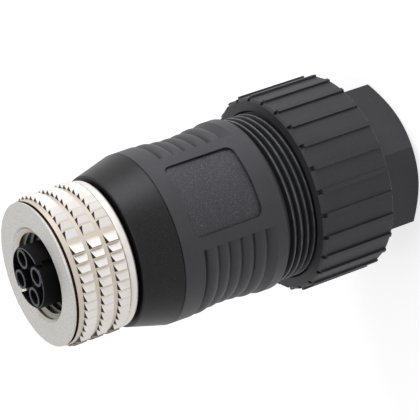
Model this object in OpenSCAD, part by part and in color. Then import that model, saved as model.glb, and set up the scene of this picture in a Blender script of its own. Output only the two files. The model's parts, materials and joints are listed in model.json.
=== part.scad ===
// Straight female cable connector with screw terminals and a cable gland.
// The axis is Z, the end face of the hexagon lies on z = 0 and the sockets face +Z.
// The label panel faces -Y.

/* [Gland nut] */
// Across the flats of the hexagon
hex_flats = 19.2; // [17:0.1:22]
// Length of the hexagon
hex_len = 6.7; // [4:0.1:10]
// Turned chamfer on the hexagon's corners, measured along the axis
hex_chamfer = 1.1; // [0.3:0.1:2]
// Turn of the hexagon about the axis, degrees
hex_turn = 14.2; // [0:0.1:60]
// Corner radius of the many-sided grip
grip_r = 13.2; // [12.6:0.05:15]
// Length of the grip
grip_len = 11; // [9.5:0.1:14]
// Flats round the grip
grip_flats = 26; // [18:1:32]
// Turn of the grip's beads about the axis, degrees
grip_turn = 11.8; // [0:0.1:20]
// Width of a bead
bead_w = 0.6; // [0.3:0.05:1]
// How far a bead stands above the grip's corners
bead_h = 0.25; // [0.1:0.05:0.5]
// Depth of the notch in front of each bead, along the axis
notch_len = 0.5; // [0.2:0.05:1]
// Edge chamfer of the grip
grip_chamfer = 0.3; // [0.1:0.05:0.6]
// Radius of the threaded bore, at the roots of the thread
gland_bore_r = 11.3; // [11.2:0.05:11.6]
// Depth of the threaded bore
gland_bore_len = 9.4; // [8:0.1:10]
// Large radius of the cone that closes the cage
press_r = 9.3; // [9.2:0.05:9.6]
// Small radius of that cone
press_end_r = 6.9; // [6.4:0.1:7.6]
// Thickness of the end wall
gland_floor = 2.3; // [1:0.1:3]
// Radius of the cable entry
entry_r = 6; // [4:0.1:6.2]

/* [Cable clamp] */
// Outside radius of the cage and the thrust ring
cage_r = 8.8; // [8:0.05:8.8]
// Inside radius of the cage
cage_bore_r = 5.8; // [5:0.1:6.4]
// Front face of the cage above the end of the hexagon
cage_top = 11.8; // [10:0.1:12.2]
// Length of the fingers
finger_len = 6.2; // [4:0.1:7]
// Plain ring that carries the fingers
cage_ring = 2.8; // [1.5:0.1:3]
// Fingers round the cage
finger_count = 10; // [6:1:14]
// Width of the slot between fingers
finger_slot = 1.1; // [0.5:0.1:2]
// Thickness of the thrust ring
thrust_t = 0.8; // [0.5:0.1:1.2]
// Inside radius of the thrust ring
thrust_bore_r = 6; // [5:0.1:6.5]
// Length of the cable seal
seal_len = 4.7; // [3:0.1:5]
// Inside radius of the cable seal
seal_bore_r = 5.2; // [3:0.1:5.8]
// Grooves in the bore of the cable seal
seal_grooves = 3; // [1:1:4]

/* [Rear housing] */
// Length of thread that shows between the housing and the gland nut
thread_show = 4.2; // [3:0.1:5]
// Core radius of the gland thread
thread_core_r = 10.6; // [10.3:0.05:10.8]
// Length of the gland thread's sleeve
thread_len = 10.7; // [9.5:0.1:10.9]
// Radius at the seam with the front collar
housing_front_r = 11.5; // [11.2:0.05:12]
// How much wider the housing is at its rear edge
housing_flare = 0.2; // [0:0.05:0.6]
// Length of the smooth body
housing_len = 15.7; // [15:0.1:18]
// Rounding of the rear edge
housing_round = 0.6; // [0.2:0.1:1]
// Bore of the wiring space
chamber_r = 8.9; // [8.4:0.05:9.1]
// Bore of the pocket for the cable seal
pocket_r = 9.1; // [9.1:0.05:9.3]
// Wall between the pocket and the wiring space
lip_t = 1.2; // [0.8:0.1:2]
// Opening in that wall
lip_r = 7.2; // [6:0.1:8]
// Depth of the front bore that takes the collar's spigot
socket_len = 4.4; // [4:0.1:6]
// Bevel on either side of the seam
seam_bevel = 0.12; // [0.05:0.01:0.3]

/* [Label panel and grip] */
// Length of the label panel
panel_len = 10.1; // [6:0.1:12]
// Width of the label panel
panel_w = 10.1; // [6:0.1:12]
// Corner radius of the label panel
panel_corner = 1; // [0.3:0.1:3]
// Depth of the label panel
panel_depth = 0.35; // [0.15:0.05:0.6]
// Panel's middle, below the seam
panel_drop = 7.2; // [6:0.1:9]
// Half angle from the panel's middle to the grip ribs, degrees
grip_edge_angle = 34.6; // [30:0.1:45]
// Pitch of the grip ribs
rib_pitch = 1.83; // [1.5:0.01:2]
// Ribs on each side
rib_count = 5; // [3:1:6]
// Radius of a rib's rounded back
rib_back_r = 1.15; // [1:0.05:2]
// Depth of the valleys below the housing
valley_depth = 0.85; // [0.5:0.05:1]
// How far the middle rib lies below the housing
waist = 0.42; // [0.1:0.02:0.6]
// How far the end ribs lie below the housing
rib_sink = 0.12; // [0:0.02:0.3]
// First rib's middle, below the seam
rib_drop = 4.35; // [3.5:0.05:6]

/* [Front collar] */
// Length of the cone
collar_len = 5.3; // [4:0.1:7]
// Radius of the cone at the coupling nut
collar_front_r = 10.15; // [9.9:0.05:10.8]
// Rounding of the cone's front edge
collar_round = 0.25; // [0.1:0.05:0.4]
// Radius of the spigot in the housing
spigot_r = 9.55; // [9.5:0.05:9.7]
// Clearance of the spigot in the housing
spigot_gap = 0.1; // [0.05:0.01:0.2]
// Length of the spigot
spigot_len = 4.2; // [3.5:0.1:4.4]
// Core radius of the spigot's thread
spigot_core_r = 9.2; // [9:0.05:9.4]
// Length of the spigot's thread
spigot_thread_len = 2.6; // [2:0.1:2.8]
// Gap in the seam between the collar and the rear housing
seam_gap = 0.05; // [0.02:0.01:0.2]
// Bore for the contact carrier
collar_bore_r = 8; // [7.9:0.05:8.1]
// Thickness of the wall behind the neck
collar_wall = 0.9; // [0.7:0.1:1.5]
// Radius of the neck that carries the coupling nut
neck_r = 7.6; // [7.5:0.05:7.7]
// Length of the neck
neck_len = 3.6; // [3.4:0.1:4]
// Bore of the neck
neck_bore_r = 6.25; // [6:0.05:6.3]
// Thickness of the ring that seals the collar to the housing
housing_ring_t = 0.65; // [0.6:0.05:0.8]
// Clearance of that ring against what turns or slides on it
ring_fit = 0.05; // [0.02:0.01:0.1]
// Thickness of the ring that seals the carrier in the collar
carrier_ring_t = 0.9; // [0.6:0.05:1]

/* [Retaining ring] */
// Thickness along the axis
ring_t = 0.8; // [0.5:0.05:1]
// Outside radius
ring_r = 8.25; // [8.1:0.05:8.3]
// Inside radius
ring_bore_r = 7.1; // [7:0.05:7.2]
// Gap at the split
ring_split = 2; // [1:0.1:4]
// Ring's middle above the collar's shoulder
ring_rise = 2; // [1.8:0.05:2.2]

/* [Coupling nut] */
// Overall length
nut_len = 9.2; // [8.8:0.1:11]
// Gap behind the nut
nut_gap = 0.4; // [0.3:0.05:0.6]
// Radius of the front face
nut_face_r = 9.5; // [9:0.05:10]
// Radius between the knurls
nut_base_r = 9.56; // [9.2:0.02:9.8]
// Radius over the knurl teeth
knurl_r = 10; // [9.7:0.05:10.4]
// Radius of the plain rear band
nut_rear_r = 9.75; // [9.5:0.05:10]
// Rounding of the rear band
nut_rear_round = 0.5; // [0.2:0.05:0.8]
// Length of a knurled band
band_len = 1.9; // [1.5:0.05:2]
// Pitch of the knurled bands
band_pitch = 2.4; // [2.2:0.05:2.5]
// First band's front end, behind the nut's face
band_start = 1.3; // [1:0.05:1.6]
// Teeth in each quarter of a band
quarter_teeth = 12; // [8:1:16]
// Angle of the tooth beside the mould line, degrees
first_tooth = 9.4; // [6:0.1:12]
// Sloping end of the teeth, along the axis
tooth_end = 0.3; // [0.1:0.05:0.5]
// Thickness of the front disc
disc_t = 0.25; // [0.15:0.05:0.6]
// Width of the groove behind the front disc
disc_groove = 0.35; // [0.2:0.05:0.6]
// Depth of the groove behind the front disc
disc_groove_depth = 0.3; // [0.1:0.05:0.6]
// Radius at the roots of the M12 thread
m12_r = 6; // [5.95:0.05:6.1]
// Depth of the M12 thread
m12_len = 5.6; // [4.5:0.1:6]
// Bevel at the mouth
mouth_bevel = 0.35; // [0.1:0.05:0.6]
// Running clearance on the neck
neck_gap = 0.1; // [0.05:0.01:0.1]
// Clearance round the retaining ring
ring_gap = 0.3; // [0.3:0.05:0.4]

/* [Contact carrier] */
// How far the sockets stand in front of the nut's face
carrier_proud = 1.3; // [0:0.1:2]
// Radius of the plug barrel
barrel_r = 4.1; // [4:0.05:4.15]
// Rear end of the plug barrel, in front of the collar's shoulder
barrel_root = 3.4; // [3:0.1:3.6]
// Length of the terminal block below the neck
block_len = 16.5; // [14:0.1:18]
// Radius of the terminal block
block_r = 7.6; // [7:0.05:7.8]
// Clearance of the carrier in the collar
carrier_gap = 0.1; // [0.05:0.01:0.15]
// Radius of the circle of contacts
contact_circle_r = 2.5; // [2.4:0.05:2.7]
// Turn of the contacts about the axis, degrees
contact_turn = 71.6; // [0:0.1:90]
// Radius of a socket's opening
socket_r = 1; // [0.9:0.05:1.1]
// Wall of a socket's tube
socket_wall = 0.3; // [0.2:0.05:0.4]
// Rim of the plug barrel
rim_w = 0.22; // [0.15:0.01:0.4]
// Depth of the cross between the sockets
cross_depth = 1; // [0.5:0.1:2]
// Width of the keyway
key_w = 0.9; // [0.5:0.05:1.2]
// Depth of the keyway
key_depth = 0.45; // [0.2:0.05:0.7]
// Length of the keyway
key_len = 6.5; // [4:0.1:7]
// Thickness of the face seal
face_seal_t = 1.15; // [0.8:0.05:1.2]

/* [Contacts] */
// Outside radius of a contact's slotted tube
tube_r = 0.75; // [0.7:0.01:0.8]
// Bore for a 1 mm pin
pin_bore_r = 0.5; // [0.45:0.01:0.52]
// Depth of that bore
pin_bore_len = 6; // [5:0.1:6.5]
// Contact's front end behind the carrier's face
contact_set = 0.7; // [0.4:0.1:1.2]
// Length of the slotted tube
tube_len = 6.8; // [6.6:0.1:7.5]
// Width of the slot
slot_w = 0.2; // [0.1:0.05:0.25]
// Length of the slot
slot_len = 4.5; // [3:0.1:5]
// Radius of the terminal barrel
terminal_r = 1.45; // [1.3:0.05:1.5]
// Bore for the wire
wire_bore_r = 0.9; // [0.7:0.05:1]
// Depth of the wire bore
wire_bore_len = 9; // [6:0.1:11]
// Rear end of the terminal barrel inside the block
terminal_set = 1; // [0.5:0.1:2]
// Thickness of the spring sleeve
sleeve_t = 0.12; // [0.08:0.01:0.15]
// Length of the spring sleeve
sleeve_len = 3.6; // [3:0.1:4.2]
// Radius of a terminal screw's thread
screw_r = 0.8; // [0.6:0.05:0.9]
// Radius of a terminal screw's head
screw_head_r = 1.45; // [1.2:0.05:1.6]
// Height of a terminal screw's head
screw_head_h = 1.2; // [0.8:0.1:1.6]
// Terminal screw above the rear end of the block
screw_rise = 5; // [3.5:0.1:7]

/* [Hidden] */
$fn = 96;
eps = 0.01;
grip_z = hex_len;
housing_rear_r = housing_front_r + housing_flare;
gland_front = hex_len + grip_len;
gland_bore_z = gland_front - gland_bore_len;
housing_z = gland_front + thread_show;
seam_z = housing_z + housing_len;
shoulder_z = seam_z + collar_len;
nut_z = shoulder_z + nut_gap;
face_z = nut_z + nut_len;
carrier_face = face_z + carrier_proud;
neck_end = shoulder_z + neck_len;
thread_end = housing_z - thread_len;
pocket_end = housing_z - 1.9;
lip_end = pocket_end + lip_t;
cage_z = cage_top - cage_ring - finger_len;
seal_z = pocket_end - 0.1 - seal_len;
ring_z = shoulder_z + ring_rise;
barrel_z = shoulder_z + barrel_root;
block_z = shoulder_z - collar_wall - block_len;
screw_z = block_z + screw_rise;
hex_r = hex_flats / 2 / cos(30);
socket_bore = spigot_r + spigot_gap;
ring_groove_top = seam_z - 0.25;
ring_groove_r = socket_bore - housing_ring_t - 2 * ring_fit;

// Point on a circle in the XY plane.
function at(r, a) = [r * cos(a), r * sin(a)];

// Round bar along Z from z0 to z1.
module bar(r, z0, z1) {
  translate([0, 0, z0]) cylinder(r = r, h = z1 - z0);
}

// Cone along Z from z0 to z1.
module cone(r0, r1, z0, z1) {
  translate([0, 0, z0]) cylinder(r1 = r0, r2 = r1, h = z1 - z0);
}

// Solid of revolution from [radius, height] points.
module turned(points) {
  rotate_extrude() polygon(points);
}

// Round sealing ring between two radii, lying on height z.
module o_ring(r_in, t, z) {
  translate([0, 0, z + t / 2])
    rotate_extrude()
      translate([r_in + t / 2, 0])
        circle(d = t, $fn = 24);
}

// ---- gland nut ----

module hexagon() {
  intersection() {
    rotate([0, 0, hex_turn])
      cylinder(r = hex_r, h = hex_len + eps, $fn = 6);
    turned([
      [0, 0],
      [hex_flats / 2 - 0.25, 0],
      [hex_r, hex_chamfer],
      [hex_r, hex_len + 1],
      [0, hex_len + 1]]);
  }
}

module grip() {
  flat_r = grip_r * cos(180 / grip_flats);
  intersection() {
    translate([0, 0, grip_z]) linear_extrude(grip_len)
      polygon([for (i = [0 : grip_flats - 1])
        at(grip_r, grip_turn + i * 360 / grip_flats)]);
    turned([
      [0, grip_z],
      [grip_r - grip_chamfer, grip_z],
      [grip_r + eps, grip_z + grip_chamfer + eps],
      [grip_r + eps, gland_front - grip_chamfer - eps],
      [flat_r - grip_chamfer, gland_front],
      [0, gland_front]]);
  }
}

module bead() {
  translate([grip_r - 0.6, -bead_w / 2, grip_z + grip_chamfer])
    cube([0.6 + bead_h, bead_w, grip_len - grip_chamfer - notch_len]);
}

module notch() {
  translate([grip_r - 0.45, -bead_w / 2, gland_front - notch_len])
    cube([2, bead_w, notch_len + 1]);
}

module gland_nut() {
  color([0.2, 0.2, 0.22])
  difference() {
    union() {
      hexagon();
      grip();
      for (i = [0 : grip_flats - 1])
        rotate([0, 0, grip_turn + i * 360 / grip_flats]) bead();
    }
    for (i = [0 : grip_flats - 1])
      rotate([0, 0, grip_turn + i * 360 / grip_flats]) notch();
    bar(entry_r, -1, gland_floor + 1);
    turned([
      [0, gland_floor],
      [press_end_r, gland_floor],
      [press_r, gland_bore_z],
      [gland_bore_r, gland_bore_z],
      [gland_bore_r, gland_front - 0.2],
      [gland_bore_r + 0.2 + eps, gland_front + eps],
      [0, gland_front + eps]]);
    cone(entry_r + 0.4, entry_r - eps, -eps, 0.4 + eps);
  }
}

// ---- cable clamp ----

cage_slope = (press_r - press_end_r) / (gland_bore_z - gland_floor);
cage_clear = press_r - cage_r - 0.08;
finger_tip_r = press_r - (gland_bore_z - cage_z) * cage_slope - cage_clear;

module clamping_cage() {
  color([0.25, 0.25, 0.27])
  difference() {
    turned([
      [cage_bore_r - 0.3, cage_z],
      [finger_tip_r, cage_z],
      [cage_r, gland_bore_z],
      [cage_r, cage_top - 0.3],
      [cage_r - 0.3, cage_top],
      [cage_bore_r, cage_top],
      [cage_bore_r, cage_z + 0.9]]);
    for (i = [0 : finger_count - 1])
      rotate([0, 0, (i + 0.5) * 360 / finger_count])
        translate([cage_bore_r - 1, -finger_slot / 2, cage_z - 1])
          cube([cage_r, finger_slot, finger_len + 1]);
  }
}

module thrust_ring() {
  color([0.7, 0.7, 0.68])
  difference() {
    bar(cage_r, cage_top + 0.05, cage_top + 0.05 + thrust_t);
    bar(thrust_bore_r, cage_top - 1, cage_top + thrust_t + 1);
  }
}

module gland_seal() {
  color([0.1, 0.1, 0.1])
  difference() {
    turned([
      [seal_bore_r, seal_z],
      [pocket_r - 0.6, seal_z],
      [pocket_r - 0.05, seal_z + 1],
      [pocket_r - 0.05, seal_z + seal_len],
      [seal_bore_r, seal_z + seal_len]]);
    for (i = [1 : seal_grooves])
      translate([0, 0, seal_z + i * seal_len / (seal_grooves + 1)])
        rotate_extrude()
          translate([seal_bore_r, 0])
            circle(r = 0.35, $fn = 24);
    cone(seal_bore_r + 0.6, seal_bore_r, seal_z - eps, seal_z + 0.6);
  }
}

// ---- rear housing ----

function rib_z(i) = seam_z - rib_drop - i * rib_pitch;
rib_mid = (rib_count - 1) / 2;
function rib_dip(i) = waist - (waist - rib_sink) * pow((i - rib_mid) / rib_mid, 2);

// Side grip: a waisted hollow with rounded ribs left standing in it.
module grip_cut() {
  ends_r = (housing_front_r + housing_rear_r) / 2;
  top = rib_z(0) + rib_pitch * 0.62;
  low = rib_z(rib_count - 1) - rib_pitch * 0.45;
  slope_end = low - 1;
  sweep = 180 - 2 * grip_edge_angle;
  rotate([0, 0, -sweep / 2])
    rotate_extrude(angle = sweep)
      difference() {
        polygon([
          [ends_r - valley_depth, top - 0.35],
          [ends_r + 0.6, top + 0.9],
          [ends_r + 0.6, slope_end - 0.9],
          [ends_r - valley_depth, low]]);
        for (i = [0 : rib_count - 1])
          translate([ends_r - rib_dip(i) - rib_back_r, rib_z(i)])
            circle(r = rib_back_r, $fn = 48);
      }
}

// Rounded rectangle centred on the origin.
module panel_shape() {
  square([panel_w - 2 * panel_corner, panel_len], center = true);
  square([panel_w, panel_len - 2 * panel_corner], center = true);
  for (x = [-1, 1], y = [-1, 1])
    translate([x * (panel_w / 2 - panel_corner), y * (panel_len / 2 - panel_corner)])
      circle(r = panel_corner, $fn = 32);
}

module panel_cut() {
  floor_r = (housing_front_r + housing_rear_r) / 2 - panel_depth;
  difference() {
    translate([0, -floor_r / 2, seam_z - panel_drop])
      rotate([90, 0, 0])
        linear_extrude(floor_r) panel_shape();
    bar(floor_r, housing_z, seam_z);
  }
}

module housing_shell() {
  rotate_extrude() {
    polygon([
      [0, housing_z],
      [housing_rear_r - housing_round, housing_z],
      [housing_rear_r - housing_round, housing_z + housing_round],
      [housing_rear_r, housing_z + housing_round],
      [housing_front_r, seam_z - seam_bevel],
      [housing_front_r - seam_bevel, seam_z],
      [0, seam_z]]);
    translate([housing_rear_r - housing_round, housing_z + housing_round])
      circle(r = housing_round, $fn = 32);
  }
}

module rear_housing() {
  color([0.19, 0.19, 0.21])
  difference() {
    union() {
      housing_shell();
      turned([
        [0, thread_end],
        [thread_core_r - 0.4, thread_end],
        [thread_core_r, thread_end + 0.4],
        [thread_core_r, housing_z + 1],
        [0, housing_z + 1]]);
    }
    turned([
      [0, thread_end - 1],
      [pocket_r, thread_end - 1],
      [pocket_r, pocket_end],
      [lip_r, pocket_end],
      [lip_r, lip_end],
      [chamber_r, lip_end],
      [chamber_r, seam_z - socket_len],
      [socket_bore, seam_z - socket_len],
      [socket_bore, seam_z + 1],
      [0, seam_z + 1]]);
    for (a = [0, 180]) rotate([0, 0, a]) {
      grip_cut();
      panel_cut();
    }
  }
}

module housing_o_ring() {
  color([0.08, 0.08, 0.08])
    o_ring(socket_bore - ring_fit - housing_ring_t, housing_ring_t, ring_groove_top
      - 0.1 - housing_ring_t);
}

// ---- front collar ----

module collar_shell() {
  rotate_extrude() {
    polygon([
      [0, seam_z + seam_gap],
      [housing_front_r - seam_bevel, seam_z + seam_gap],
      [housing_front_r, seam_z + seam_gap + seam_bevel],
      [collar_front_r, shoulder_z - collar_round],
      [collar_front_r - collar_round, shoulder_z - collar_round],
      [collar_front_r - collar_round, shoulder_z],
      [0, shoulder_z]]);
    translate([collar_front_r - collar_round, shoulder_z - collar_round])
      circle(r = collar_round, $fn = 32);
  }
}

module front_collar() {
  wall_z = shoulder_z - collar_wall;
  color([0.17, 0.17, 0.18])
  difference() {
    union() {
      collar_shell();
      bar(spigot_core_r, seam_z - spigot_len, seam_z);
      cone(spigot_core_r, spigot_r, seam_z - spigot_len + spigot_thread_len,
        seam_z - spigot_len + spigot_thread_len + 0.3);
      bar(spigot_r, seam_z - spigot_len + spigot_thread_len + 0.3, seam_z + 1);
      turned([
        [0, shoulder_z - 0.5],
        [neck_r, shoulder_z - 0.5],
        [neck_r, neck_end - 0.3],
        [neck_r - 0.3, neck_end],
        [0, neck_end]]);
    }
    bar(collar_bore_r, seam_z - spigot_len - 1, wall_z);
    bar(neck_bore_r, wall_z - 1, neck_end + 1);
    difference() {
      bar(spigot_r + 1, ring_groove_top - housing_ring_t - 0.2, ring_groove_top);
      bar(ring_groove_r, ring_groove_top - 3, ring_groove_top + 1);
    }
    difference() {
      bar(neck_r + 1, ring_z - ring_t / 2 - 0.05, ring_z + ring_t / 2 + 0.05);
      bar(ring_bore_r - 0.05, ring_z - 2, ring_z + 2);
    }
  }
}

module carrier_o_ring() {
  color([0.08, 0.08, 0.08])
    o_ring(collar_bore_r - carrier_ring_t, carrier_ring_t, seam_z + 1);
}

module retaining_ring() {
  color([0.6, 0.6, 0.62])
  difference() {
    bar(ring_r, ring_z - ring_t / 2, ring_z + ring_t / 2);
    bar(ring_bore_r, ring_z - 2, ring_z + 2);
    translate([0, -ring_split / 2, ring_z - 2]) cube([ring_r + 1, ring_split, 4]);
  }
}

// ---- coupling nut ----

// Angles of the tooth edges in one quarter, counted from the mould line.
tooth_step = (90 - first_tooth) / (quarter_teeth - 1);
function tooth_edge(i) = i == 0 ? 0 : first_tooth + (i - 1) * tooth_step;

// One quarter of the toothed outline: each tooth rises away from the mould line
// and drops in a step, so that the quarter can leave its half of the mould.
function quarter(low, high) = [for (i = [0 : quarter_teeth - 1]) each [
  at(low, tooth_edge(i)),
  at(high, tooth_edge(i + 1) - 0.4)]];

module tooth_quarter() {
  polygon(concat([[0, 0]], quarter(nut_base_r - 0.06, knurl_r)));
}

module knurl_band(z_front) {
  z0 = z_front - band_len;
  intersection() {
    translate([0, 0, z0]) linear_extrude(band_len) union() {
      rotate([0, 0, -90]) tooth_quarter();
      rotate([0, 0, -90]) mirror([0, 1]) tooth_quarter();
      rotate([0, 0, 90]) tooth_quarter();
      rotate([0, 0, 90]) mirror([0, 1]) tooth_quarter();
    }
    turned([
      [0, z0],
      [nut_base_r - 0.02, z0],
      [knurl_r + eps, z0 + tooth_end],
      [knurl_r + eps, z_front - tooth_end],
      [nut_base_r - 0.02, z_front],
      [0, z_front]]);
  }
}

module nut_body() {
  groove_z = face_z - disc_t - disc_groove;
  last = face_z - band_start - 2 * band_pitch - band_len;
  rotate_extrude() {
    polygon([
      [0, nut_z],
      [nut_rear_r - nut_rear_round, nut_z],
      [nut_rear_r - nut_rear_round, nut_z + nut_rear_round],
      [nut_rear_r, nut_z + nut_rear_round],
      [nut_rear_r, last - 0.25],
      [nut_base_r, last],
      [nut_base_r, groove_z],
      [nut_face_r - disc_groove_depth, groove_z],
      [nut_face_r - disc_groove_depth, groove_z + disc_groove],
      [nut_face_r, groove_z + disc_groove],
      [nut_face_r, face_z - 0.08],
      [nut_face_r - 0.08, face_z],
      [0, face_z]]);
    translate([nut_rear_r - nut_rear_round, nut_z + nut_rear_round])
      circle(r = nut_rear_round, $fn = 32);
  }
}

module coupling_nut() {
  seat_r = neck_r + neck_gap;
  seat_end = face_z - m12_len;
  color([0.82, 0.81, 0.78])
  difference() {
    union() {
      nut_body();
      for (i = [0 : 2]) knurl_band(face_z - band_start - i * band_pitch);
    }
    turned([
      [0, nut_z - 1],
      [seat_r, nut_z - 1],
      [seat_r, ring_z - ring_t / 2 - ring_gap],
      [ring_r + ring_gap, ring_z - ring_t / 2 - ring_gap],
      [ring_r + ring_gap, ring_z + ring_t / 2 + ring_gap],
      [seat_r, ring_z + ring_t / 2 + ring_gap],
      [seat_r, seat_end],
      [m12_r, seat_end],
      [m12_r, face_z - mouth_bevel],
      [m12_r + mouth_bevel, face_z],
      [m12_r + mouth_bevel, face_z + 1],
      [0, face_z + 1]]);
  }
}

// ---- contact carrier ----

function contact_angle(k) = contact_turn + (k - 1) * 90;

module around(k) {
  rotate([0, 0, contact_angle(k)]) translate([contact_circle_r, 0, 0]) children();
}

module keyway(a) {
  rotate([0, 0, a])
    translate([barrel_r - key_depth, -key_w / 2, carrier_face - key_len])
      cube([key_depth + 1, key_w, key_len + 1]);
}

module contact_carrier() {
  block_top = shoulder_z - collar_wall - 0.1;
  ring_groove_z = seam_z + 1 + carrier_ring_t / 2;
  color([0.09, 0.09, 0.1])
  difference() {
    union() {
      turned([
        [0, block_z],
        [block_r, block_z],
        [block_r, seam_z - spigot_len],
        [collar_bore_r - carrier_gap, seam_z - spigot_len],
        [collar_bore_r - carrier_gap, block_top],
        [neck_bore_r - carrier_gap, block_top],
        [neck_bore_r - carrier_gap, barrel_z],
        [barrel_r, barrel_z],
        [barrel_r, carrier_face - 0.25],
        [barrel_r - 0.2, carrier_face],
        [0, carrier_face]]);
    }
    difference() {
      bar(barrel_r - rim_w, carrier_face - cross_depth, carrier_face + 1);
      for (k = [1 : 4])
        around(k) bar(socket_r + socket_wall, carrier_face - 2, carrier_face + 2);
    }
    keyway(-90);
    keyway(90);
    for (k = [1 : 4]) around(k) {
      bar(socket_r, carrier_face - contact_set - tube_len, carrier_face + 1);
      bar(terminal_r + 0.05, block_z - 1, carrier_face - contact_set - tube_len + eps);
      translate([0, 0, screw_z]) rotate([0, 90, 0])
        cylinder(r = screw_head_r + 0.1, h = block_r);
    }
    difference() {
      bar(collar_bore_r + 1, ring_groove_z - carrier_ring_t / 2 - 0.05,
        ring_groove_z + carrier_ring_t / 2 + 0.05);
      bar(collar_bore_r - carrier_ring_t, ring_groove_z - 2, ring_groove_z + 2);
    }
  }
}

module face_seal() {
  color([0.07, 0.07, 0.07])
    o_ring(barrel_r + 0.02, face_seal_t, barrel_z + 0.03);
}

// ---- contacts ----

module contact(k) {
  front = carrier_face - contact_set;
  root = front - tube_len;
  color([0.8, 0.62, 0.25])
  around(k) difference() {
    union() {
      bar(tube_r, root - 1, front);
      bar(terminal_r, block_z + terminal_set, root);
    }
    bar(pin_bore_r, front - pin_bore_len, front + 1);
    bar(wire_bore_r, block_z, block_z + terminal_set + wire_bore_len);
    translate([-2, -slot_w / 2, front - slot_len]) cube([4, slot_w, slot_len + 1]);
    translate([0, 0, screw_z]) rotate([0, 90, 0])
      cylinder(r = screw_r, h = 3);
  }
}

module spring_sleeve(k) {
  top = carrier_face - contact_set - 0.3;
  color([0.72, 0.72, 0.74])
  around(k) difference() {
    bar(tube_r + 0.02 + sleeve_t, top - sleeve_len, top);
    bar(tube_r + 0.02, top - sleeve_len - 1, top + 1);
  }
}

module terminal_screw() {
  seat = terminal_r + 0.05;
  difference() {
    union() {
      rotate([0, 90, 0]) cylinder(r = screw_r, h = seat + eps);
      translate([seat, 0, 0]) rotate([0, 90, 0])
        cylinder(r = screw_head_r, h = screw_head_h);
    }
    translate([-1, -2, -2]) cube([1.3, 4, 4]);
    translate([seat + screw_head_h - 0.4, -0.2, -2]) cube([1, 0.4, 4]);
  }
}

module terminal_screws() {
  color([0.75, 0.75, 0.76])
  for (k = [1 : 4])
    around(k) translate([0, 0, screw_z]) terminal_screw();
}

gland_nut();
clamping_cage();
thrust_ring();
gland_seal();
rear_housing();
housing_o_ring();
front_collar();
carrier_o_ring();
contact_carrier();
face_seal();
retaining_ring();
coupling_nut();
contact(1);  // contact_1
contact(2);  // contact_2
contact(3);  // contact_3
contact(4);  // contact_4
spring_sleeve(1);  // spring_sleeve_1
spring_sleeve(2);  // spring_sleeve_2
spring_sleeve(3);  // spring_sleeve_3
spring_sleeve(4);  // spring_sleeve_4
terminal_screws();
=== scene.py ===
"""Looks of the cable connector: finishes, screw threads, floor, lamps and camera."""

import json
import math

import bmesh
import bpy
from mathutils import Matrix, Vector


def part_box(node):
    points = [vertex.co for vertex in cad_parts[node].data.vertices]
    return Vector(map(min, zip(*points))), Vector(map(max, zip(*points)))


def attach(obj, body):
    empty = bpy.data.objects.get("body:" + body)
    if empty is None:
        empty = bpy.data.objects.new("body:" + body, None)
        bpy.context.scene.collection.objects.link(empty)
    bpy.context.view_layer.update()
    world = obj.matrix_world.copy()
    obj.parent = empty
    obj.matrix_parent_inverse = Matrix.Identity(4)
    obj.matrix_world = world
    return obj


MM = 0.001
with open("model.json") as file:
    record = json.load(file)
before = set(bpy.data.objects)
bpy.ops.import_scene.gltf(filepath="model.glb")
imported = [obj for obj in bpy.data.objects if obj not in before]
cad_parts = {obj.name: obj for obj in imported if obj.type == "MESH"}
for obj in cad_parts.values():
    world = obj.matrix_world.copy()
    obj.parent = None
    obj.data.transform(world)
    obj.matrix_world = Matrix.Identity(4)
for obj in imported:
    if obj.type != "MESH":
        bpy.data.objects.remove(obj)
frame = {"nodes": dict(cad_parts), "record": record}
NODES = frame["nodes"]

# Heights and radii that the finishes follow.
NUT_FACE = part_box("coupling_nut")[1][2]
INSERT_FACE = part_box("contact_carrier")[1][2]
KNURL_FRONT = NUT_FACE - 1.1 * MM
KNURL_REAR = NUT_FACE - 8.03 * MM
DISC_GROOVE = NUT_FACE - 0.43 * MM
KNURL_ROOT_R = 9.5 * MM
MOUTH_R = 6.1 * MM
HOUSING_REAR = 21.85 * MM
PANEL_MIDDLE = 30.4 * MM
PANEL_HALF = 5.0 * MM
PANEL_FLOOR_R = 11.36 * MM
THREAD_CREST_R = 11.12 * MM


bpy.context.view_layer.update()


# ---- shader maths ----


class Value:
    """One output socket; operators on it add Math nodes."""

    def __init__(self, graph, socket):
        self.graph = graph
        self.socket = socket

    def _math(self, operation, first, second=None):
        inputs = {0: first} if second is None else {0: first, 1: second}
        return self.graph.add("ShaderNodeMath", {"operation": operation}, inputs)

    def __add__(self, other):
        return self._math("ADD", self, other)

    __radd__ = __add__

    def __sub__(self, other):
        return self._math("SUBTRACT", self, other)

    def __rsub__(self, other):
        return self._math("SUBTRACT", other, self)

    def __mul__(self, other):
        return self._math("MULTIPLY", self, other)

    __rmul__ = __mul__

    def __truediv__(self, other):
        return self._math("DIVIDE", self, other)

    def __rtruediv__(self, other):
        return self._math("DIVIDE", other, self)

    def __pow__(self, other):
        return self._math("POWER", self, other)

    def __abs__(self):
        return self._math("ABSOLUTE", self)

    def above(self, edge, blur):
        """0 below edge, 1 above it, over a width of blur."""
        ends = {"From Min": edge - blur / 2, "From Max": edge + blur / 2}
        settings = {"interpolation_type": "SMOOTHSTEP"}
        return self.graph.add("ShaderNodeMapRange", settings, {"Value": self, **ends})

    def below(self, edge, blur):
        return 1 - self.above(edge, blur)


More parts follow.
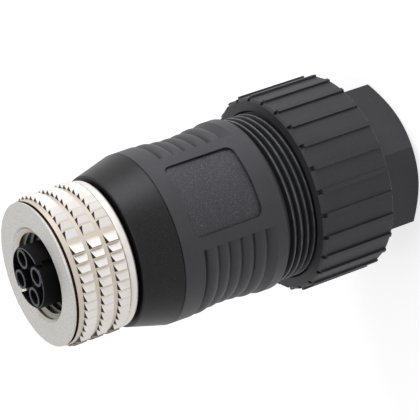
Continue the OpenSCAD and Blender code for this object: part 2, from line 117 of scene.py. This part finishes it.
class Graph:
    """A material's node tree, with one method that adds any node."""

    def __init__(self, name):
        self.material = bpy.data.materials.new(name)
        self.material.use_nodes = True
        self.tree = self.material.node_tree
        self.tree.nodes.clear()
        self.place = self.add("ShaderNodeTexCoord", out="Object")
        axes = {"Vector": self.place}
        self.x, self.y, self.z = (
            self.add("ShaderNodeSeparateXYZ", inputs=axes, out=axis) for axis in "XYZ"
        )
        self.radius = (self.x * self.x + self.y * self.y) ** 0.5

    def normal(self):
        """The surface's direction in the piece's own axes, as three numbers."""
        facing = {"Vector": self.add("ShaderNodeTexCoord", out="Normal")}
        return [
            self.add("ShaderNodeSeparateXYZ", inputs=facing, out=axis) for axis in "XYZ"
        ]

    def add(self, kind, settings=None, inputs=None, out=0):
        node = self.tree.nodes.new(kind)
        for name, value in (settings or {}).items():
            setattr(node, name, value)
        for name, value in (inputs or {}).items():
            if isinstance(value, Value):
                self.tree.links.new(value.socket, node.inputs[name])
            else:
                socket = node.inputs[name]
                short = socket.type == "RGBA" and len(value) == 3
                socket.default_value = (*value, 1) if short else value
        return Value(self, node.outputs[out])

    def mix(self, amount, first, second):
        inputs = {0: amount, 6: first, 7: second}
        settings = {"data_type": "RGBA", "clamp_factor": True}
        return self.add("ShaderNodeMix", settings, inputs, out=2)

    def noise(self, size, detail=3, roughness=0.55, stretch=None):
        """Noise whose lumps are about size metres wide."""
        place = self.place
        if stretch:
            place = self.add(
                "ShaderNodeVectorMath",
                {"operation": "MULTIPLY"},
                {0: place, 1: stretch},
            )
        inputs = {
            "Vector": place,
            "Scale": 1 / size,
            "Detail": detail,
            "Roughness": roughness,
        }
        return self.add("ShaderNodeTexNoise", inputs=inputs)

    def bump(self, height, distance, strength, under=None):
        inputs = {"Height": height, "Distance": distance, "Strength": strength}
        if under is not None:
            inputs["Normal"] = under
        return self.add("ShaderNodeBump", inputs=inputs)

    def finish(self, **sockets):
        names = {name.replace("_", " "): value for name, value in sockets.items()}
        shader = self.add("ShaderNodeBsdfPrincipled", inputs=names)
        self.output(shader)
        return self.material

    def output(self, shader):
        end = self.tree.nodes.new("ShaderNodeOutputMaterial")
        self.tree.links.new(shader.socket, end.inputs["Surface"])


# ---- finishes ----


def nickel():
    """Satin nickel plate on a casting, with painted shade: beige roots, dark tooth steps, near-black
    tooth ends and grooves, a darker mouth.
    """
    g = Graph("satin_nickel")
    grain = g.noise(0.16 * MM, 3, 0.7)
    cloud = g.noise(2.5 * MM, 3)
    across, along, up = g.normal()
    outwards = (across * g.x + along * g.y) / g.radius
    crest = g.radius.above(9.62 * MM, 0.2 * MM)
    front = g.z.above(NUT_FACE - 0.2 * MM, 0.1 * MM)
    bands = g.z.below(KNURL_FRONT, 0.05 * MM) * g.z.above(KNURL_REAR, 0.03 * MM)
    knurl = g.radius.above(KNURL_ROOT_R, 0.06 * MM) * bands
    bright = g.mix(cloud.above(0.5, 0.5), (0.80, 0.775, 0.75), (0.74, 0.70, 0.65))
    satin = g.mix(grain.above(0.5, 0.3), (0.47, 0.46, 0.44), (0.70, 0.69, 0.66))
    # Painted shade: below the crest radius (roots, grooves, inside) the nickel is coloured a darker
    # beige.
    colour = g.mix(crest, (0.60, 0.53, 0.44), bright)
    colour = g.mix(front, colour, satin)
    # Painted shade: the side faces of the tooth steps are coloured dark brown.
    painted_step_shade = knurl * outwards.below(0.6, 0.2) * abs(up).below(0.5, 0.2)
    colour = g.mix(painted_step_shade, colour, (0.34, 0.27, 0.22))
    # Painted shade: the front-facing ends of the teeth are coloured near-black.
    painted_tooth_end_shade = knurl * up.above(0.5, 0.2)
    # Painted shade: the groove behind the front disc is coloured near-black, like the tooth ends.
    painted_groove_shade = abs(g.z - DISC_GROOVE).below(0.2 * MM, 0.03 * MM)
    painted_groove_shade = painted_groove_shade * g.radius.below(9.45 * MM, 0.04 * MM) * g.radius.above(8.5 * MM, 0.1 * MM)
    colour = g.mix(painted_tooth_end_shade + painted_groove_shade, colour, (0.035, 0.026, 0.021))
    # Painted shade: the mouth and its thread inside the nut are coloured darker.
    painted_mouth_shade = g.radius.below(MOUTH_R, 0.1 * MM) * g.z.below(NUT_FACE - 0.5 * MM, 0.3 * MM)
    colour = g.mix(painted_mouth_shade, colour, (0.34, 0.32, 0.29))
    return g.finish(
        Base_Color=colour,
        Metallic=0.8,
        Roughness=0.34 + 0.14 * grain,
        Normal=g.bump(grain, 0.01 * MM, 0.5),
    )


def moulded(name, colour, rough, gloss, panel=False):
    """Black moulded plastic with a fine grain whose pale specks are painted glints, coarser on the
    label panel, where the thread roots also get painted shade.
    """
    g = Graph(name)
    fine = g.noise(0.13 * MM, 3, 0.7)
    broad = g.noise(4 * MM, 3)
    paler = tuple(min(1, 1.5 * c + 0.002) for c in colour)
    shade = g.mix(broad.above(0.5, 0.6), colour, paler)
    # Painted glints: pale bluish specks are coloured onto the fine grain.
    shade = g.mix(fine.above(0.62, 0.14) * 0.5, shade, (0.075, 0.074, 0.088))
    roughness = rough + 0.08 * broad
    normal = g.bump(fine, 0.014 * MM, 0.6)
    if panel:
        across = abs(g.x).below(PANEL_HALF, 0.1 * MM)
        along = abs(g.z - PANEL_MIDDLE).below(PANEL_HALF, 0.1 * MM)
        sunk = g.radius.below(PANEL_FLOOR_R, 0.05 * MM)
        label = across * along * sunk
        sparkle = g.noise(0.17 * MM, 2, 0.75)
        # Painted glints: the sparkle specks on the label panel are coloured pale; the bump below is
        # the real grain.
        shade = g.mix(sparkle.above(0.58, 0.12) * label * 0.7, shade, (0.12, 0.118, 0.14))
        normal = g.bump(sparkle * label, 0.03 * MM, 0.8, normal)
        roughness = roughness + 0.06 * label
        # Painted shade: the housing below HOUSING_REAR, between the gland thread's ridges, is coloured
        # near-black.
        painted_root_shade = g.z.below(HOUSING_REAR, 0.05 * MM)
        shade = g.mix(painted_root_shade, shade, (0.002, 0.002, 0.002))
    return g.finish(
        Base_Color=shade,
        Roughness=roughness,
        Specular_IOR_Level=gloss,
        Normal=normal,
    )


def thread_plastic():
    """The gland thread: crests painted pale as a highlight, roots painted black as shade."""
    g = Graph("thread_plastic")
    crest_mottle = g.noise(1.5 * MM, 3)
    crest = g.radius.above(THREAD_CREST_R, 0.08 * MM)
    # Painted highlight on the crests, pale with a mottle; painted shade in the roots, near-black.
    painted_crest_highlight = g.mix(crest_mottle.above(0.5, 0.5), (0.07, 0.07, 0.085), (0.16, 0.16, 0.19))
    shade = g.mix(crest, (0.002, 0.002, 0.002), painted_crest_highlight)
    return g.finish(
        Base_Color=shade,
        Roughness=0.62 - 0.2 * crest,
        Specular_IOR_Level=0.5,
        Normal=g.bump(g.noise(0.15 * MM), 0.008 * MM, 0.4),
    )


def insert_plastic():
    """The socket insert: black, with the edges of its face painted paler as a sheen."""
    g = Graph("insert_plastic")
    fine = g.noise(0.2 * MM, 3)
    # Painted sheen: the insert's face, edges included, is coloured pale grey-violet; the rest stays
    # near-black.
    face = g.z.above(INSERT_FACE - 0.08 * MM, 0.06 * MM)
    edge = g.mix(fine.above(0.5, 0.4), (0.10, 0.10, 0.12), (0.17, 0.17, 0.20))
    shade = g.mix(face, (0.003, 0.003, 0.003), edge)
    return g.finish(
        Base_Color=shade,
        Roughness=0.7 - 0.2 * face,
        Specular_IOR_Level=0.12,
        Normal=g.bump(fine, 0.01 * MM, 0.4),
    )


def rubber():
    """Seal rubber with a faint bloom."""
    g = Graph("seal_rubber")
    bloom = g.noise(1.2 * MM, 4)
    shade = g.mix(bloom.above(0.5, 0.5), (0.012, 0.012, 0.012), (0.025, 0.024, 0.023))
    return g.finish(
        Base_Color=shade,
        Roughness=0.6 + 0.15 * bloom,
        Normal=g.bump(g.noise(0.2 * MM), 0.01 * MM, 0.4),
    )


def turned_metal(name, colour, dark, rough):
    """Turned metal with rings left by the tool."""
    g = Graph(name)
    rings = g.noise(0.3 * MM, 2, 0.5, (0.2, 0.2, 6))
    shade = g.mix(rings.above(0.5, 0.6), colour, dark)
    return g.finish(
        Base_Color=shade,
        Metallic=1.0,
        Roughness=rough + 0.12 * rings,
        Normal=g.bump(rings, 0.004 * MM, 0.4),
    )


FINISHES = {
    "nickel": nickel(),
    "steel": turned_metal("bright_steel", (0.62, 0.62, 0.64), (0.45, 0.45, 0.47), 0.25),
    "contact_metal": turned_metal("gilt", (0.83, 0.62, 0.25), (0.62, 0.43, 0.16), 0.22),
    "housing_plastic": moulded("black_plastic", (0.018, 0.017, 0.020), 0.5, 0.45),
    "carrier_plastic": insert_plastic(),
    "seal_rubber": rubber(),
}
OWN_FINISHES = {
    "rear_housing": moulded("housing_plastic", (0.026, 0.025, 0.029), 0.48, 0.5, panel=True),
    "front_collar": moulded("polished_plastic", (0.003, 0.0026, 0.0027), 0.36, 0.28),
}
for part in frame["record"]["subparts"]:
    solid = NODES[part["node"]]
    for place in solid.material_slots:
        place.material = FINISHES[part["material_slot"]]
for node, finish in OWN_FINISHES.items():
    for place in NODES[node].material_slots:
        place.material = finish


# ---- screw threads ----


STEPS = 72  # faces round one turn
PITCH = 1.0  # both threads, millimetres


def thread(name, body, slot, root_r, crest_r, z0, z1, crest_z):
    """A right-handed ridge in millimetres, from z0 to z1, one crest at crest_z where x is greatest."""
    start = crest_z - math.floor(crest_z - z0)
    foot = 0.4 * PITCH
    top = 0.07 * PITCH
    sink = math.copysign(0.06, root_r - crest_r)
    profile = [
        (root_r + sink, -foot),
        (root_r, -foot),
        (crest_r, -top),
        (crest_r, top),
        (root_r, foot),
        (root_r + sink, foot),
    ]
    bm = bmesh.new()
    points = [bm.verts.new((r * MM, 0, (start + z) * MM)) for r, z in profile]
    face = bm.faces.new(points)
    count = int((z1 - start) / PITCH * STEPS)
    bmesh.ops.spin(
        bm,
        geom=[face],
        cent=(0, 0, 0),
        axis=(0, 0, 1),
        dvec=(0, 0, PITCH * MM / STEPS),
        angle=math.tau * count / STEPS,
        steps=count,
        use_merge=False,
    )
    bmesh.ops.recalc_face_normals(bm, faces=bm.faces)
    mesh = bpy.data.meshes.new(name)
    bm.to_mesh(mesh)
    bm.free()
    mesh.shade_smooth()
    mesh.set_sharp_from_angle(angle=math.radians(30))
    ridge = bpy.data.objects.new(name, mesh)
    bpy.context.scene.collection.objects.link(ridge)
    ridge.data.materials.append(FINISHES[slot])
    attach(ridge, body)
    return ridge


thread("locking_thread", "coupling_nut", "nickel", 6.0, 5.45, 47.2, 52.2, 52.0)
gland_thread = thread("gland_thread", "housing", "housing_plastic", 10.6, 11.2, 11.7, 21.7, 21.26)
gland_thread.data.materials[0] = thread_plastic()
thread("gland_nut_thread", "gland_nut", "housing_plastic", 11.3, 10.78, 9.0, 17.1, 16.76)
thread("spigot_thread", "front", "housing_plastic", 9.2, 9.52, 33.7, 36.0, 35.8)
thread("socket_thread", "housing", "housing_plastic", 9.65, 9.33, 33.6, 36.1, 35.3)


# ---- floor and surroundings ----


WHITE_TO = ("Is Camera Ray", "Is Glossy Ray", "Is Transmission Ray")


def white_for_view(name, colour, glow):
    """A pale surface that the camera, mirrors and glass see as white, shadows kept."""
    g = Graph(name)
    camera_ray, glossy_ray, glass_ray = (
        g.add("ShaderNodeLightPath", out=kind) for kind in WHITE_TO
    )
    mottle = g.noise(40 * MM, 2)
    shade = g.mix(mottle, colour, tuple(0.99 * c for c in colour))
    matt = g.add("ShaderNodeBsdfDiffuse", inputs={"Color": shade})
    light = g.add(
        "ShaderNodeEmission",
        inputs={"Color": (1, 1, 1), "Strength": glow * (camera_ray + glossy_ray + glass_ray)},
    )
    g.output(g.add("ShaderNodeAddShader", inputs={0: matt, 1: light}))
    return g.material


def floor():
    """The pale floor just under the gland nut's end face."""
    bm = bmesh.new()
    bmesh.ops.create_grid(bm, x_segments=1, y_segments=1, size=3)
    bmesh.ops.translate(bm, verts=bm.verts, vec=(0, 0, -0.02 * MM))
    mesh = bpy.data.meshes.new("floor")
    bm.to_mesh(mesh)
    bm.free()
    ground = bpy.data.objects.new("floor", mesh)
    bpy.context.scene.collection.objects.link(ground)
    ground.data.materials.append(white_for_view("pale_floor", (0.8, 0.8, 0.8), 0.72))


def surroundings(level):
    """Soft light of that level from all round, seen as white."""
    world = bpy.data.worlds.new("studio")
    bpy.context.scene.world = world
    world.use_nodes = True
    nodes, links = world.node_tree.nodes, world.node_tree.links
    nodes.clear()
    path = nodes.new("ShaderNodeLightPath")
    strength = nodes.new("ShaderNodeMapRange")
    strength.inputs["To Min"].default_value = level
    strength.inputs["To Max"].default_value = 1.0
    seen = path.outputs[WHITE_TO[0]]
    for kind in WHITE_TO[1:]:
        either = nodes.new("ShaderNodeMath")
        either.operation = "MAXIMUM"
        links.new(seen, either.inputs[0])
        links.new(path.outputs[kind], either.inputs[1])
        seen = either.outputs[0]
    links.new(seen, strength.inputs["Value"])
    sky = nodes.new("ShaderNodeBackground")
    sky.inputs["Color"].default_value = (1, 1, 1, 1)
    links.new(strength.outputs["Result"], sky.inputs["Strength"])
    out = nodes.new("ShaderNodeOutputWorld")
    links.new(sky.outputs["Background"], out.inputs["Surface"])


# ---- camera and lamps ----

# The camera's axes in the object's frame, and its place.
VIEW_RIGHT = Vector((-0.42471661, -0.32964017, -0.84318038))
VIEW_UP = Vector((0.87723813, -0.38004097, -0.29329529))
VIEW_BACK = Vector((-0.22376118, -0.86423736, 0.45058264))
CAMERA_PLACE = Vector((-72.2087, -281.2343, 173.0702)) * MM
FOCAL_LENGTH = 214.04
MIDDLE = Vector((0, 0, 27)) * MM


def camera():
    """The camera, at the angle of the reference view."""
    lens = bpy.data.cameras.new("camera")
    lens.sensor_width = 36
    lens.lens = FOCAL_LENGTH
    lens.clip_start = 0.01
    eye = bpy.data.objects.new("camera", lens)
    bpy.context.scene.collection.objects.link(eye)
    axes = Matrix((VIEW_RIGHT, VIEW_UP, VIEW_BACK)).transposed()
    eye.matrix_world = Matrix.Translation(CAMERA_PLACE) @ axes.to_4x4()
    bpy.context.scene.camera = eye


def softbox(name, right, up, back, distance, width, height, level, colour=(1, 1, 1)):
    """A lamp of that brightness, seen from the object in that direction of the view."""
    way = (VIEW_RIGHT * right + VIEW_UP * up + VIEW_BACK * back).normalized()
    lamp = bpy.data.lights.new(name, "AREA")
    lamp.shape = "RECTANGLE"
    lamp.size = width
    lamp.size_y = height
    lamp.energy = math.pi * width * height * level
    lamp.color = colour
    holder = bpy.data.objects.new(name, lamp)
    bpy.context.scene.collection.objects.link(holder)
    turn = way.to_track_quat("Z", "Y").to_matrix().to_4x4()
    holder.matrix_world = Matrix.Translation(MIDDLE + way * distance) @ turn


camera()
floor()
surroundings(0.25)
softbox("key_lamp", -0.35, 0.85, 0.45, 0.5, 0.3, 0.3, 6.0, (0.93, 0.94, 1.0))
softbox("fill_lamp", -0.7, -0.1, 0.7, 0.6, 0.35, 0.35, 1.2)

bpy.context.scene.view_settings.view_transform = "Standard"
